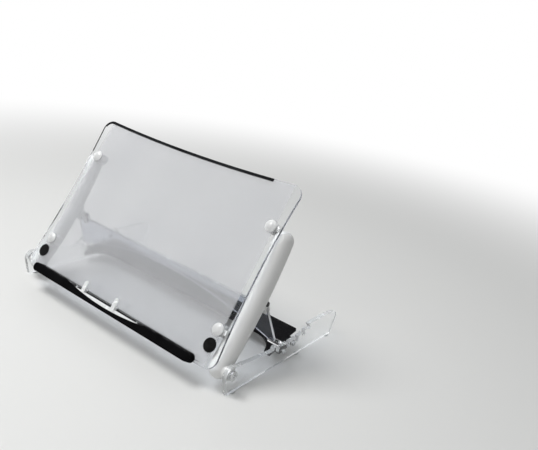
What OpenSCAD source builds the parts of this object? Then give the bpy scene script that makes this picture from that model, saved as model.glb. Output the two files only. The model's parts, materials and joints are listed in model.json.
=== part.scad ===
// Clear desk-top writing slope: a tilting acrylic board on two tubular rails,
// carried by two clear base fins and propped from behind by a hinged flap.
// Units are millimetres, +Z is up, +X runs along the board, +Y points away from the writer.
// The origin lies on the desk, under the middle of the whole object.

/* [Board] */
// Width of the clear sheet
board_width = 450; // [420:5:480]
// Length of the clear sheet up the slope
board_length = 299.5; // [280:0.5:320]
// Thickness of the clear sheet
sheet_thickness = 5; // [4:0.5:6]
// Slope of the board in the stored pose, in degrees
tilt_angle = 57; // [55:0.5:59]
// Height of the line where the slope starts, above the desk
board_lift = 30; // [28:0.5:33]
// Corner radius of the sheet
corner_radius = 18; // [14:1:22]
// How far the middle of the top edge dips
top_dip = 6.5; // [3:0.5:9]
// How far the middle of each side edge is drawn in
side_dip = 6; // [3:0.5:8]

/* [Ledge] */
// Length of the book ledge
ledge_length = 380; // [350:5:390]
// Height of the ledge up the slope
ledge_height = 15; // [14:0.5:17]
// How far the ledge stands out of the sheet
ledge_depth = 14; // [13:0.5:18]
// Length of the scooped pocket in the ledge's front
scoop_length = 200; // [180:5:220]
// Depth of the scooped pocket at its middle
scoop_depth = 9; // [8:0.5:10]
// Width of a page finger
finger_width = 8; // [6:0.5:9]
// Height of a page finger above the ledge
finger_reach = 15; // [10:1:20]

/* [Rails] */
// Width of a rail from side to side
rail_width = 32; // [30:1:36]
// Depth of a rail behind the sheet, at its fullest
rail_depth = 38.5; // [37:0.5:41]
// Length of a rail up the slope
rail_length = 238.5; // [230:0.5:248]
// Gap between a rail and its fin, filled by the washer
rail_gap = 1.5; // [1:0.25:2.5]

/* [Base] */
// Thickness of a base fin
fin_thickness = 8; // [6:0.5:10]
// Where the fins end at the back, measured from the start of the slope
fin_rear = 308; // [298:2:322]
// Height of the rubber pads under the fins
pad_height = 1; // [0.8:0.1:2]
// Thickness of the cross plate
plate_thickness = 6; // [6:0.5:8]
// Where the cross plate ends at the back
plate_rear = 205.5; // [202:0.5:209]

/* [Support flap] */
// Thickness of the support flap
flap_thickness = 5; // [4:0.5:6]
// Radius of the round feet of the flap
foot_radius = 5; // [4.5:0.1:5.5]
// Rise of the arch in the flap's lower edge
arch_rise = 48; // [40:1:52]
// Degrees the flap swings for each degree the board is lowered
fold_ratio = 3.1; // [3.05:0.01:3.15]
// Degrees the board can be lowered from the stored pose
lower_range = 30; // [26:1:30]

/* [Fixings] */
// Radius of the tilt pins
tilt_pin_r = 4; // [3:0.25:4.5]
// Radius of the flap's hinge pins
hinge_pin_r = 2; // [1.5:0.1:2.4]
// Radius of the dome caps over the clamp screws
cap_r = 10; // [9:0.5:11]
// Radius of the plain round badges
badge_r = 11; // [9:0.5:12]

/* [Hidden] */
// Round pieces
round_fn = 64;
arc_fn = 720;
// Extra length of a cutter past the face it leaves
past = 1;
// Play between pieces that slide or turn, and between a fixing and its hole
run_play = 0.05;
hole_play = 0.2;
slide_play = 0.3;

// Sideways places
half = board_width / 2;
rail_overhang = 13;
rail_out = half + rail_overhang;
fin_in = rail_out + rail_gap;
fin_out = fin_in + fin_thickness;
fin_mid = (fin_in + fin_out) / 2;
fixing_inset = 23;
fixing_x = half - fixing_inset;

// Up the slope
sheet_v0 = 4;
sheet_v1 = sheet_v0 + board_length;
badge_v = 37;

// The rails in side view: an arched tube through three points, [up the slope, out of the sheet's front]
tube_r = rail_width / 2;
rail_x = rail_out - tube_r;
rail_v0 = -2;
rail_v1 = rail_v0 + rail_length;
cap_low_v = 62;
cap_end = 5;
cap_v = [cap_low_v, rail_v1 - cap_end];
pivot_in = 16;
pivot_back = 15;
pivot_v = rail_v0 + pivot_in;
pivot_n = -sheet_thickness - pivot_back;
hinge_v = 127;
fullest_below = 7;
top_back = 14.5;
tube_low = [pivot_v, pivot_n];
tube_mid = [hinge_v - fullest_below, -sheet_thickness - rail_depth + tube_r];
tube_top = [rail_v1 - tube_r, -sheet_thickness - top_back];

// Centre of the circle through three points
function sq(p) = p * p;
function circle_through(a, b, c) =
  let (d = 2 * (a[0] * (b[1] - c[1]) + b[0] * (c[1] - a[1]) + c[0] * (a[1] - b[1])))
  [
    (sq(a) * (b[1] - c[1]) + sq(b) * (c[1] - a[1]) + sq(c) * (a[1] - b[1])) / d,
    (sq(a) * (c[0] - b[0]) + sq(b) * (a[0] - c[0]) + sq(c) * (b[0] - a[0])) / d
  ];
tube_centre = circle_through(tube_low, tube_mid, tube_top);
tube_bend = norm(tube_low - tube_centre);
function tube_turn(p) = atan2(p[1] - tube_centre[1], p[0] - tube_centre[0]);
// The round ends are a hair smaller than the tube, so that their faces never coincide
end_step = 0.2;
boss_r = 9;
boss_depth = 17;
arm_half = 4;
arm_in = 6;
arm_step = 2;
pivot_boss_r = 11;

// The flap's hinge behind the rails
knuckle_r = 5.5;
knuckle_len = 7;
knuckle_gap = 0.5;
hinge_n = -sheet_thickness - rail_depth - knuckle_r - knuckle_gap;
bracket_inset = 17;
bracket_width = 10;
bracket_out = rail_out - bracket_inset;
bracket_in = bracket_out - bracket_width;
bracket_sink = 4;
bracket_half = 11.5;

// Points in side view, [away from the writer, up], before the shift to the origin
function on_slope(v, n) = [
  v * cos(tilt_angle) - n * sin(tilt_angle),
  board_lift + v * sin(tilt_angle) + n * cos(tilt_angle)
];
function turned(p, about, a) = about + [
  (p - about)[0] * cos(a) - (p - about)[1] * sin(a),
  (p - about)[0] * sin(a) + (p - about)[1] * cos(a)
];
pivot = on_slope(pivot_v, pivot_n);
hinge = on_slope(hinge_v, hinge_n);
foot_height = 39.5;
foot_run = 136;
foot = [foot_run, foot_height];
flap_len = norm(foot - hinge);
flap_angle = atan2(foot[1] - hinge[1], foot[0] - hinge[0]);

// Path of the flap's foot as the board is lowered by t degrees, and the rack just under it
function foot_at(t) = turned(turned(foot, hinge, fold_ratio * t), pivot, -t);
function along(t) = foot_at(t + 0.5) - foot_at(t - 0.5);
function down_at(t) = [along(t)[1], -along(t)[0]] / norm(along(t));
function rack_at(t) = foot_at(t) + (foot_radius + slide_play) * down_at(t);
rack_step = 1.5;
rack_end = lower_range + 3;
notch_count = 5;
notch_w = 5;
notch_depth = 6;

// The cross plate lies just below the rack all along; a tab at each end reaches the fin
plate_front = 129;
plate_slope = 11.4;
plate_margin = 9;
plate_half = fin_in - plate_margin;
plate_drop = 1.2;
plate_front_z = min([
  for (t = [0 : rack_step : rack_end])
    rack_at(t)[1] - (rack_at(t)[0] - plate_front) * tan(plate_slope)
]) - plate_drop;
plate_len = (plate_rear - plate_front) / cos(plate_slope);
plate_screw_t = [21.5, 47];
tab_past_screw = 8;
recess_depth = 31;
recess_r = 42;
recess_ear = 6;

// The fins in side view
fin_boss_r = 14;
rear_under = 13;
rear_tip_z = 32;
rear_crown = [[4, 40], [17, 45]];
hump_back = 47;
hump_rise = 0.5;
hump_y = fin_rear - hump_back;
hump_z = rack_at(rack_end)[1] + hump_rise;
waist_y = 114;
waist_drop = 1.5;
waist_z = rack_at(0)[1] - waist_drop;
stop_gap = 1.2;
stop_y = foot_run - foot_radius - stop_gap;
stop_crest = [5, 0.5];
stop_slope = [9, 1.5];
fin_toe = 9;
fin_shoulder = [8, 11.5];
fin_nose = [13.6, 3];
pad_r = 6.5;
pad_from = [5, 56, 24];
pad_y = [pivot[0] + pad_from[0], foot_run + pad_from[1], fin_rear - pad_from[2]];

// Middle of the whole depth comes to y = 0
front_y = on_slope(0, ledge_depth)[0];
shift_y = -(front_y + fin_rear) / 2;

// Heads and other fixings
head_h = 2.5;
clamp_screw_r = 2;
clamp_head_r = 5;
cap_h = 4.2;
clamp_len = 15;
ledge_screw_r = 1.75;
ledge_screw_x = [60, 165];
ledge_screw_v = 10;
ledge_screw_in = 5.5;
ledge_head_r = 3.2;
ledge_head_h = 2.2;
plate_screw_r = 1.6;
plate_screw_len = 20;
plate_head_r = 4;
bracket_screw_r = 1.5;
bracket_screw_v = 8.5;
bracket_screw_in = 12;
bracket_head_r = 2.6;
bracket_head_h = 1.8;
tilt_head_r = 8;
tilt_reach = 21;
bush_wall = 1;
hinge_head_r = 4;
hinge_head_h = 2;
clip_h = 1.6;

// The page bar in the ledge's pocket
pocket_n = 8;
bar_n = 10.5;
scoop_r = (pow(scoop_length / 2, 2) + pow(scoop_depth, 2)) / (2 * scoop_depth);
scoop_v = ledge_height - scoop_depth + scoop_r;
bar_pin_x = 0.37 * scoop_length;
bar_pin_r = 1;
bar_pin_drop = 1.9;
bar_pin_v = ledge_height - bar_pin_drop;
bar_pin_sink = 2.5;
finger_x = [-56, 19];
finger_t = 1.6;
finger_foot_v = 9.5;
finger_hook = 3.2;
badge_h = 0.8;

// Local axes of the board: x along it, y up the slope, z out of its front
module on_board() {
  translate([0, shift_y, board_lift]) rotate([tilt_angle, 0, 0]) children();
}

// Local axes of the flap: y from its hinge to its foot, z out of its back
module on_flap() {
  translate([0, shift_y + hinge[0], hinge[1]]) rotate([flap_angle, 0, 0]) children();
}

module on_base() {
  translate([0, shift_y, 0]) children();
}

// Local axes of the cross plate: y along its slope, z up from its top face
module on_plate() {
  translate([0, shift_y + plate_front, plate_front_z]) rotate([plate_slope, 0, 0]) children();
}

module to_side(side) {
  mirror([side < 0 ? 1 : 0, 0, 0]) children();
}

module both_sides() {
  for (side = [-1, 1]) to_side(side) children();
}

// A round bar along X
module x_bar(x0, x1, r, y = 0, z = 0, fn = round_fn) {
  translate([x0, y, z]) rotate([0, 90, 0]) cylinder(r = r, h = x1 - x0, $fn = fn);
}

// A box from its two corners
module box(low, high) {
  translate(low) cube(high - low);
}

module sheet_blank() {
  r = corner_radius;
  low = -sheet_thickness;
  box([-half + r, sheet_v0, low], [half - r, sheet_v1, 0]);
  box([-half, sheet_v0 + r, low], [half, sheet_v1 - r, 0]);
  for (x = [-half + r, half - r], v = [sheet_v0 + r, sheet_v1 - r])
    translate([x, v, low]) cylinder(r = r, h = sheet_thickness, $fn = round_fn);
}

// Wide arcs that draw in the top and side edges of the sheet
module sheet_arcs() {
  chord_x = half - corner_radius;
  chord_v = board_length / 2 - corner_radius;
  top_r = (chord_x * chord_x + top_dip * top_dip) / (2 * top_dip);
  side_r = (chord_v * chord_v + side_dip * side_dip) / (2 * side_dip);
  deep = sheet_thickness + 2 * past;
  translate([0, sheet_v1 - top_dip + top_r, -sheet_thickness - past])
    cylinder(r = top_r, h = deep, $fn = arc_fn);
  both_sides()
    translate([half - side_dip + side_r, sheet_v0 + board_length / 2, -sheet_thickness - past])
      cylinder(r = side_r, h = deep, $fn = arc_fn);
}

module clear_sheet() {
  color([0.86, 0.88, 0.91, 0.45]) on_board() difference() {
    sheet_blank();
    sheet_arcs();
    both_sides() for (v = cap_v)
      translate([fixing_x, v, -sheet_thickness - past])
        cylinder(r = clamp_screw_r + hole_play, h = sheet_thickness + 2 * past, $fn = round_fn);
    both_sides() for (x = ledge_screw_x)
      translate([x, ledge_screw_v, -sheet_thickness - past])
        cylinder(r = ledge_screw_r + hole_play, h = sheet_thickness + 2 * past, $fn = round_fn);
  }
}

// An arched tube that meets the sheet at both ends, with arms to its clamp bosses
module rail_body() {
  start = tube_turn(tube_low);
  translate([rail_x, tube_centre[0], tube_centre[1]]) rotate([90, 0, 90]) rotate([0, 0, start])
    rotate_extrude(angle = tube_turn(tube_top) - start, $fn = arc_fn)
      translate([tube_bend, 0]) circle(r = tube_r, $fn = round_fn);
  for (p = [tube_low, tube_top])
    translate([rail_x, p[0], p[1]]) sphere(r = tube_r - end_step, $fn = round_fn);
  for (v = cap_v)
    translate([fixing_x, v, -sheet_thickness - boss_depth])
      cylinder(r = boss_r, h = boss_depth, $fn = round_fn);
  for (v = cap_v)
    box([fixing_x, v - arm_half, -sheet_thickness - boss_depth + arm_step],
        [rail_x - arm_in, v + arm_half, -sheet_thickness]);
  x_bar(rail_x, rail_out, pivot_boss_r, pivot_v, pivot_n);
}

module rail_cutters() {
  wide = rail_out + boss_r;
  bush_r = tilt_pin_r + run_play + bush_wall;
  box([0, rail_v0 - tube_r, -sheet_thickness], [wide, rail_v1 + tube_r, tube_r]);
  for (v = cap_v)
    translate([fixing_x, v, -sheet_thickness - clamp_len - past])
      cylinder(r = clamp_screw_r + hole_play, h = clamp_len + 2 * past, $fn = round_fn);
  x_bar(rail_out - tilt_reach, rail_out + past, bush_r + hole_play / 2, pivot_v, pivot_n);
  seat_n = -sheet_thickness - rail_depth + bracket_sink;
  box([bracket_in - slide_play, hinge_v - bracket_half - slide_play, seat_n - 3 * bracket_sink],
      [bracket_out + slide_play, hinge_v + bracket_half + slide_play, seat_n]);
  for (v = [-bracket_screw_v, bracket_screw_v])
    translate([(bracket_in + bracket_out) / 2, hinge_v + v, seat_n - past])
      cylinder(r = bracket_screw_r + hole_play, h = bracket_screw_in + past, $fn = round_fn);
}

module rail(side) {
  color([0.93, 0.93, 0.92]) on_board() to_side(side) difference() {
    rail_body();
    rail_cutters();
  }
}

module rail_left() {
  rail(-1);
}

module rail_right() {
  rail(1);
}

module clamp_screws() {
  color([0.72, 0.73, 0.74]) on_board() both_sides() for (v = cap_v) {
    translate([fixing_x, v, -sheet_thickness - clamp_len])
      cylinder(r = clamp_screw_r, h = clamp_len + sheet_thickness, $fn = round_fn);
    translate([fixing_x, v, 0]) cylinder(r = clamp_head_r, h = head_h, $fn = round_fn);
  }
}

module clamp_caps() {
  dome_r = (cap_r * cap_r + cap_h * cap_h) / (2 * cap_h);
  color([0.9, 0.92, 0.9]) on_board() both_sides() for (v = cap_v)
    translate([fixing_x, v, 0]) difference() {
      intersection() {
        translate([0, 0, cap_h - dome_r]) sphere(r = dome_r, $fn = round_fn);
        cylinder(r = cap_r + past, h = cap_h + past, $fn = round_fn);
      }
      translate([0, 0, -past])
        cylinder(r = clamp_head_r + slide_play, h = head_h + slide_play + past, $fn = round_fn);
    }
}

module blank_badges() {
  color([0.06, 0.06, 0.06]) on_board() both_sides()
    translate([fixing_x, badge_v, 0]) cylinder(r = badge_r, h = badge_h, $fn = round_fn);
}

// The pocket's floor is an arc, so the bar in it is lens shaped
module scoop(low_n, high_n, less) {
  translate([0, scoop_v, low_n])
    cylinder(r = scoop_r - less, h = high_n - low_n, $fn = arc_fn);
}

module book_ledge() {
  r = ledge_height / 2;
  reach = ledge_length / 2 - r;
  color([0.05, 0.05, 0.05]) on_board() difference() {
    union() {
      box([-reach, 0, 0], [reach, ledge_height, ledge_depth]);
      both_sides() translate([reach, r, 0]) cylinder(r = r, h = ledge_depth, $fn = round_fn);
    }
    scoop(pocket_n, ledge_depth + past, 0);
    both_sides() for (x = ledge_screw_x)
      translate([x, ledge_screw_v, -past])
        cylinder(r = ledge_screw_r + hole_play, h = ledge_screw_in + past, $fn = round_fn);
    both_sides() translate([bar_pin_x, bar_pin_v, pocket_n - bar_pin_sink])
      cylinder(r = bar_pin_r + hole_play / 2, h = bar_pin_sink + past, $fn = round_fn);
  }
}

module ledge_screws() {
  color([0.72, 0.73, 0.74]) on_board() both_sides() for (x = ledge_screw_x) {
    translate([x, ledge_screw_v, -sheet_thickness])
      cylinder(r = ledge_screw_r, h = sheet_thickness + ledge_screw_in, $fn = round_fn);
    translate([x, ledge_screw_v, -sheet_thickness - ledge_head_h])
      cylinder(r = ledge_head_r, h = ledge_head_h, $fn = round_fn);
  }
}

module page_bar() {
  color([0.9, 0.9, 0.92, 0.5]) on_board() difference() {
    intersection() {
      scoop(bar_n, ledge_depth, slide_play);
      box([-scoop_length / 2, 0, bar_n], [scoop_length / 2, ledge_height, ledge_depth]);
    }
    both_sides() translate([bar_pin_x, bar_pin_v, bar_n - past])
      cylinder(r = bar_pin_r + hole_play / 2, h = bar_pin_sink + past, $fn = round_fn);
  }
}

module page_bar_pins() {
  color([0.72, 0.73, 0.74]) on_board() both_sides()
    translate([bar_pin_x, bar_pin_v, pocket_n - bar_pin_sink])
      cylinder(r = bar_pin_r, h = bar_n - pocket_n + 2 * bar_pin_sink, $fn = round_fn);
}

// A hook over the page bar with a round-ended tongue in front of the page
module page_finger(x) {
  w = finger_width / 2;
  tongue_n = ledge_depth + slide_play;
  bridge_v = ledge_height + slide_play;
  tip_v = ledge_height + finger_reach - w;
  color([0.9, 0.9, 0.92, 0.5]) on_board() translate([x, 0, 0]) {
    box([-w, finger_foot_v, tongue_n], [w, tip_v, tongue_n + finger_t]);
    translate([0, tip_v, tongue_n]) cylinder(r = w, h = finger_t, $fn = round_fn);
    box([-w, bridge_v, pocket_n + slide_play], [w, bridge_v + finger_t, tongue_n + finger_t]);
    box([-w, ledge_height - finger_hook, pocket_n + slide_play], [w, bridge_v + finger_t, bar_n - slide_play]);
  }
}

module page_finger_left() {
  page_finger(finger_x[0]);
}

module page_finger_right() {
  page_finger(finger_x[1]);
}

module tilt_bushes() {
  bush_in = tilt_pin_r + run_play;
  color([0.75, 0.6, 0.35]) on_board() both_sides() difference() {
    x_bar(rail_out - tilt_reach, rail_out, bush_in + bush_wall, pivot_v, pivot_n);
    x_bar(rail_out - tilt_reach - past, rail_out + past, bush_in, pivot_v, pivot_n);
  }
}

module hinge_brackets() {
  seat_n = -sheet_thickness - rail_depth + bracket_sink;
  plate_n = seat_n - bracket_sink;
  middle = (bracket_in + bracket_out) / 2;
  color([0.93, 0.93, 0.92]) on_board() both_sides() difference() {
    union() {
      box([bracket_in, hinge_v - bracket_half, plate_n], [bracket_out, hinge_v + bracket_half, seat_n]);
      box([bracket_in, hinge_v - knuckle_r, hinge_n], [bracket_out, hinge_v + knuckle_r, seat_n]);
      x_bar(bracket_in, bracket_out, knuckle_r, hinge_v, hinge_n);
    }
    x_bar(bracket_in - past, bracket_out + past, hinge_pin_r + run_play, hinge_v, hinge_n);
    for (v = [-bracket_screw_v, bracket_screw_v])
      translate([middle, hinge_v + v, plate_n - past])
        cylinder(r = bracket_screw_r + hole_play, h = bracket_sink + 2 * past, $fn = round_fn);
  }
}

module bracket_screws() {
  plate_n = -sheet_thickness - rail_depth;
  middle = (bracket_in + bracket_out) / 2;
  color([0.72, 0.73, 0.74]) on_board() both_sides() for (v = [-bracket_screw_v, bracket_screw_v]) {
    translate([middle, hinge_v + v, plate_n])
      cylinder(r = bracket_screw_r, h = bracket_sink + bracket_screw_in - past, $fn = round_fn);
    translate([middle, hinge_v + v, plate_n - bracket_head_h])
      cylinder(r = bracket_head_r, h = bracket_head_h, $fn = round_fn);
  }
}

// Top edge of the flap, clear of the brackets' round ends
flap_clear = 1.5;
flap_top = knuckle_r + flap_clear;
flap_shoulder_in = 10;
flap_shoulder = rail_out - flap_shoulder_in;
flap_play = 1.5;
flap_half = fin_in - flap_play;
leg_w = 12;
arch_x = flap_half - leg_w;
arch_r = (arch_x * arch_x + arch_rise * arch_rise) / (2 * arch_rise);

module support_flap() {
  t = flap_thickness / 2;
  color([0.86, 0.88, 0.91, 0.45]) on_flap() difference() {
    translate([0, 0, -t]) linear_extrude(flap_thickness) polygon([
      [-flap_shoulder, flap_top], [flap_shoulder, flap_top], [flap_half, flap_len], [-flap_half, flap_len]
    ]);
    translate([0, flap_len - arch_rise + arch_r, -t - past])
      cylinder(r = arch_r, h = flap_thickness + 2 * past, $fn = arc_fn);
  }
}

// One knuckle on each side of a bracket, slotted over the flap's top edge
knuckle_x = [bracket_in - knuckle_gap - knuckle_len, bracket_out + knuckle_gap];
knuckle_tail = 17;

module flap_knuckles() {
  t = flap_thickness / 2;
  color([0.93, 0.93, 0.92]) on_flap() both_sides() for (x = knuckle_x) difference() {
    union() {
      x_bar(x, x + knuckle_len, knuckle_r);
      box([x, 0, -knuckle_r], [x + knuckle_len, knuckle_tail, knuckle_r]);
    }
    x_bar(x - past, x + knuckle_len + past, hinge_pin_r + run_play);
    box([x - past, flap_top, -t], [x + knuckle_len + past, knuckle_tail + past, t]);
  }
}

module hinge_pins() {
  outer = knuckle_x[1] + knuckle_len;
  color([0.1, 0.1, 0.1]) on_flap() both_sides() {
    x_bar(knuckle_x[0] - 2 * clip_h, outer, hinge_pin_r);
    x_bar(outer, outer + hinge_head_h, hinge_head_r);
  }
}

module pin_clips() {
  color([0.1, 0.1, 0.1]) on_flap() both_sides() difference() {
    x_bar(knuckle_x[0] - clip_h, knuckle_x[0], hinge_head_r);
    x_bar(knuckle_x[0] - clip_h - past, knuckle_x[0] + past, hinge_pin_r + run_play);
  }
}

module flap_feet() {
  t = flap_thickness / 2;
  color([0.88, 0.9, 0.92, 0.6]) on_flap() both_sides() difference() {
    x_bar(arch_x, fin_out, foot_radius, flap_len, 0);
    box([arch_x - past, flap_len - foot_radius - past, -t], [flap_half, flap_len, t]);
  }
}

// Outline of a fin in side view; the rack follows the foot's path
module fin_outline() {
  rack_0 = rack_at(0);
  polygon(concat(
    [[pivot[0] - fin_toe, pad_height], [fin_rear - rear_under, pad_height], [fin_rear, rear_tip_z]],
    [for (p = rear_crown) [fin_rear - p[0], p[1]]],
    [[hump_y, hump_z]],
    [for (i = [round(rack_end / rack_step) : -1 : 0]) rack_at(i * rack_step)],
    [[stop_y, rack_0[1]], [stop_y, foot[1] - stop_crest[1]]],
    [[stop_y - stop_crest[0], foot[1] - stop_slope[1]], [stop_y - stop_slope[0], waist_z]],
    [[waist_y, waist_z], pivot + fin_shoulder, pivot - fin_nose]
  ));
}

module notch(t) {
  at = rack_at(t);
  down = down_at(t);
  translate([fin_in - past, at[0], at[1]]) rotate([atan2(down[1], down[0]), 0, 0]) {
    box([0, -notch_depth, -notch_w / 2], [fin_thickness + 2 * past, notch_depth, notch_w / 2]);
    x_bar(0, fin_thickness + 2 * past, notch_w / 2, notch_depth);
  }
}

// Place of a plate screw on the fin, in the plate's own axes
module at_plate_screw(t, x0, x1, r) {
  on_plate() x_bar(x0, x1, r, t, -plate_thickness / 2);
}

module fin(side) {
  color([0.86, 0.88, 0.9, 0.45]) to_side(side) difference() {
    on_base() {
      translate([fin_in, 0, 0]) rotate([90, 0, 90]) linear_extrude(fin_thickness) fin_outline();
      x_bar(fin_in, fin_out, fin_boss_r, pivot[0], pivot[1]);
    }
    on_base() {
      for (i = [0 : notch_count - 1]) notch(i * lower_range / (notch_count - 1));
      x_bar(fin_in - past, fin_out + past, tilt_pin_r + run_play, pivot[0], pivot[1]);
    }
    for (t = plate_screw_t) at_plate_screw(t, fin_in - past, fin_out + past, plate_screw_r + hole_play);
  }
}

module fin_left() {
  fin(-1);
}

module fin_right() {
  fin(1);
}

module cross_plate() {
  recess_x = plate_half - recess_ear - sqrt(recess_r * recess_r - pow(recess_r - recess_depth, 2));
  cut_z = -plate_thickness - past;
  deep = plate_thickness + 2 * past;
  color([0.08, 0.08, 0.08]) difference() {
    on_plate() {
      box([-plate_half, 0, -plate_thickness], [plate_half, plate_len, 0]);
      box([-fin_in, plate_screw_t[0] - tab_past_screw, -plate_thickness],
          [fin_in, plate_screw_t[1] + tab_past_screw, 0]);
    }
    on_plate() {
      box([-recess_x, -past, cut_z], [recess_x, recess_depth, cut_z + deep]);
      both_sides() translate([recess_x, recess_depth - recess_r, cut_z])
        cylinder(r = recess_r, h = deep, $fn = round_fn);
    }
    both_sides() for (t = plate_screw_t)
      at_plate_screw(t, fin_in - plate_screw_len, fin_in + past, plate_screw_r + hole_play);
  }
}

module plate_screws() {
  color([0.72, 0.73, 0.74]) both_sides() for (t = plate_screw_t) {
    at_plate_screw(t, fin_in - plate_screw_len, fin_out, plate_screw_r);
    at_plate_screw(t, fin_out, fin_out + head_h, plate_head_r);
  }
}

module tilt_pins() {
  color([0.72, 0.73, 0.74]) on_base() both_sides() {
    x_bar(rail_out - tilt_reach + past, fin_out, tilt_pin_r, pivot[0], pivot[1]);
    x_bar(fin_out, fin_out + head_h, tilt_head_r, pivot[0], pivot[1]);
  }
}

module tilt_washers() {
  color([0.85, 0.85, 0.85]) on_base() both_sides() difference() {
    x_bar(rail_out + hole_play, fin_in, tilt_head_r, pivot[0], pivot[1]);
    x_bar(rail_out, fin_in + past, tilt_pin_r + hole_play, pivot[0], pivot[1]);
  }
}

module foot_pads() {
  color([0.8, 0.8, 0.8]) on_base() both_sides() for (y = pad_y)
    translate([fin_mid, y, 0]) cylinder(r = pad_r, h = pad_height, $fn = round_fn);
}

clear_sheet();
rail_left();
rail_right();
clamp_screws();
clamp_caps();
blank_badges();
book_ledge();
ledge_screws();
page_bar();
page_bar_pins();
page_finger_left();
page_finger_right();
tilt_bushes();
hinge_brackets();
bracket_screws();
support_flap();
flap_knuckles();
hinge_pins();
pin_clips();
flap_feet();
fin_left();
fin_right();
cross_plate();
plate_screws();
tilt_pins();
tilt_washers();
foot_pads();
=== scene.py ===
# %% [markdown]
# # A clear writing slope, dressed over its solids
# The real object is a tilting sheet of frosted acrylic on two white tubular rails. Two clear base fins
# carry it, and a flap hinged behind the rails props it up; the flap's smoky tint is partly a painted shade.
# The solids already have the right sizes and places, so this lesson loads them first and only ever works
# on copies.

# %% Load the solids
import json
import math

import bpy
from mathutils import Matrix, Vector

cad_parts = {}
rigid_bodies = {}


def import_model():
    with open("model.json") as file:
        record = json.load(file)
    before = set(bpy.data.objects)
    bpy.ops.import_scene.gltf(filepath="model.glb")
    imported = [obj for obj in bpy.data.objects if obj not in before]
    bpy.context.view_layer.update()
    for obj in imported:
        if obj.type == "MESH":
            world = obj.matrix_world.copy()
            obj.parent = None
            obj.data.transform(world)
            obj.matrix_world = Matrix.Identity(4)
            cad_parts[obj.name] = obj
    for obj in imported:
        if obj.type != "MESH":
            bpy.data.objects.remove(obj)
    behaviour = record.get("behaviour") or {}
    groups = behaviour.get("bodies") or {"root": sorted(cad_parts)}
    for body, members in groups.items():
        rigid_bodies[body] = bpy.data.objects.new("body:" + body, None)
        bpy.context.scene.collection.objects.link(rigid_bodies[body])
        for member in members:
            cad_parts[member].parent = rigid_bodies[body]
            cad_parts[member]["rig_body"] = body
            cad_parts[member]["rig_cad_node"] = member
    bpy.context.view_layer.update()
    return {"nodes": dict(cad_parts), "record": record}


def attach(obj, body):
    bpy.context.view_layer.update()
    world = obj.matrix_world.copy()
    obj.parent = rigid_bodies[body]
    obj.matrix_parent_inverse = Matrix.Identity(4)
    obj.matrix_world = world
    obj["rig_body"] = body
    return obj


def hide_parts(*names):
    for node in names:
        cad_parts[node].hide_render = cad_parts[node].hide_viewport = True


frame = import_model()
solids = frame["nodes"]

# %% [markdown]
# ## The camera
# The photograph looks down on the slope from its right front. Its place and turn were worked out from
# the corners of the sheet and the ends of the ledge. The turn is kept as three unit vectors, which say
# where the picture's right, its top and the viewer lie. The solids were drawn from the foot of the sheet
# and then moved along Y until the middle of their box stood over the origin. The camera moves with them.

# %% Set the camera
MM = 0.001
SHIFT_Y = -148.13 * MM
EYE = Vector((0.684, -0.580 + SHIFT_Y, 0.531))
RIGHT = (0.78432, 0.60280, 0.14656)
UP = (-0.31686, 0.18616, 0.93003)
BACK = (0.53333, -0.77588, 0.33701)
SENSOR_WIDTH = 36.0
FOCAL_PIXELS = 612.67
PICTURE_WIDTH = 538

bpy.ops.object.select_all(action="DESELECT")
bpy.ops.object.camera_add(location=EYE)
camera = bpy.context.active_object
camera.name = "photo_camera"
camera.matrix_world = Matrix.Translation(EYE) @ Matrix((RIGHT, UP, BACK)).transposed().to_4x4()
camera.data.sensor_fit = "HORIZONTAL"
camera.data.sensor_width = SENSOR_WIDTH
camera.data.lens = SENSOR_WIDTH * FOCAL_PIXELS / PICTURE_WIDTH
bpy.context.scene.camera = camera
print("camera lens", round(camera.data.lens, 2), "mm")

# %% [markdown]
# ## The floor
# A pale floor runs out to a white background. White light could be poured on to get there, but it would
# burn out the white rails. So the floor keeps one plain tone near the object and hands over to plain
# white further out, only for rays that reach the eye, directly or through glass and gloss. It lies a
# little low, so that it never shares one plane with the pads under the fins.

# %% A helper that picks the rays which reach the eye
def seen_rays(tree):
    path = tree.nodes.new("ShaderNodeLightPath")
    gloss = tree.nodes.new("ShaderNodeMath")
    gloss.operation = "MAXIMUM"
    tree.links.new(path.outputs["Is Camera Ray"], gloss.inputs[0])
    tree.links.new(path.outputs["Is Glossy Ray"], gloss.inputs[1])
    glass = tree.nodes.new("ShaderNodeMath")
    glass.operation = "MAXIMUM"
    tree.links.new(gloss.outputs[0], glass.inputs[0])
    tree.links.new(path.outputs["Is Transmission Ray"], glass.inputs[1])
    return glass.outputs[0]


# %% Make the floor
FLOOR_SIZE = 14
FLOOR_DROP = 0.4 * MM
bpy.ops.object.select_all(action="DESELECT")
bpy.ops.mesh.primitive_plane_add(size=FLOOR_SIZE, location=(0, 0, -FLOOR_DROP))
floor = bpy.context.active_object
floor.name = "floor"
print(floor.name, "is", FLOOR_SIZE, "m wide")

# %% Measure how far out each point of the floor lies
FADE_START = 0.75
FADE_END = 1.9
pale = bpy.data.materials.new("pale_floor")
pale.use_nodes = True
tree = pale.node_tree
place = tree.nodes.new("ShaderNodeTexCoord")
distance = tree.nodes.new("ShaderNodeVectorMath")
distance.operation = "LENGTH"
tree.links.new(place.outputs["Object"], distance.inputs[0])
fade = tree.nodes.new("ShaderNodeMapRange")
fade.interpolation_type = "SMOOTHSTEP"
fade.inputs["From Min"].default_value = FADE_START
fade.inputs["From Max"].default_value = FADE_END
tree.links.new(distance.outputs["Value"], fade.inputs["Value"])
print("floor fades to white from", FADE_START, "to", FADE_END, "m")

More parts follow.
